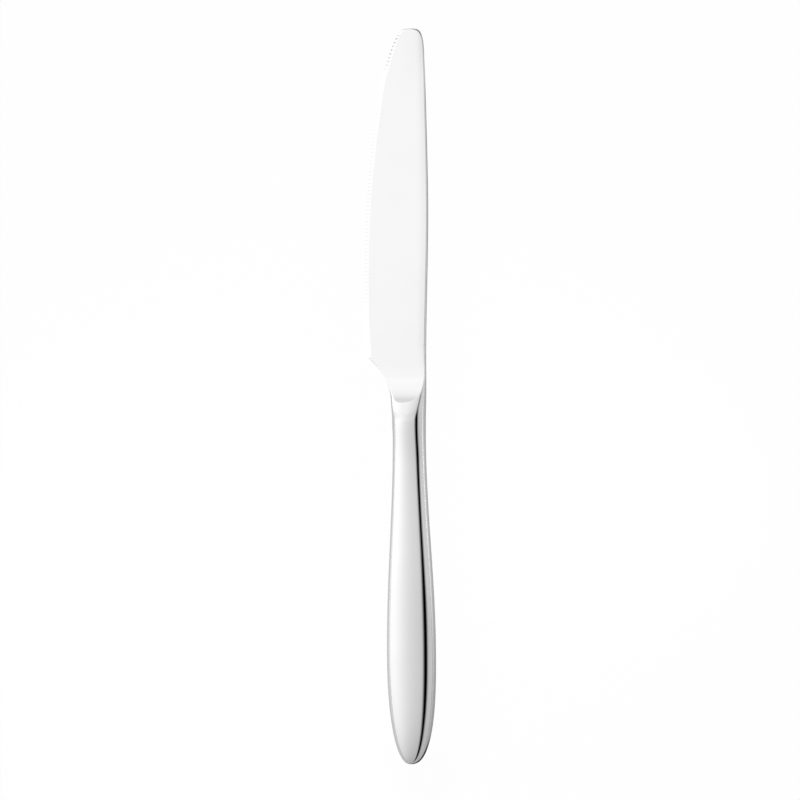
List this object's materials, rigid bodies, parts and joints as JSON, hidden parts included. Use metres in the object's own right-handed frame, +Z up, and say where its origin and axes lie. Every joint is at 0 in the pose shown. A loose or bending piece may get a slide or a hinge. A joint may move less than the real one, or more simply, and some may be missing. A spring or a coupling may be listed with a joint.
{
  "type": "table knife",
  "caption": "Stainless table knife with a round-tipped blade, a coved bolster and a hollow oval handle that swells towards a rounded butt.",
  "frame": {"origin": "under the middle of the knife's bounding box, on the surface that the knife lies on", "axes": "+Y along the knife towards the blade's tip, +X towards the blade's spine, +Z up through the thickness of the knife lying on its side"},
  "size_m": [0.023, 0.23, 0.0092],
  "materials": {
    "blade_steel": "satin",
    "handle_steel": "polished",
    "weld_metal": "polished",
    "braze_alloy": "polished",
    "potting_cement": "matte"
  },
  "bodies": {
    "root": {"blade": "blade_steel", "bolster_braze_ring": "braze_alloy", "handle_front_shell": "handle_steel", "handle_back_shell": "handle_steel", "seam_weld_bead": "weld_metal", "handle_cement": "potting_cement"}
  },
  "joints": []
}
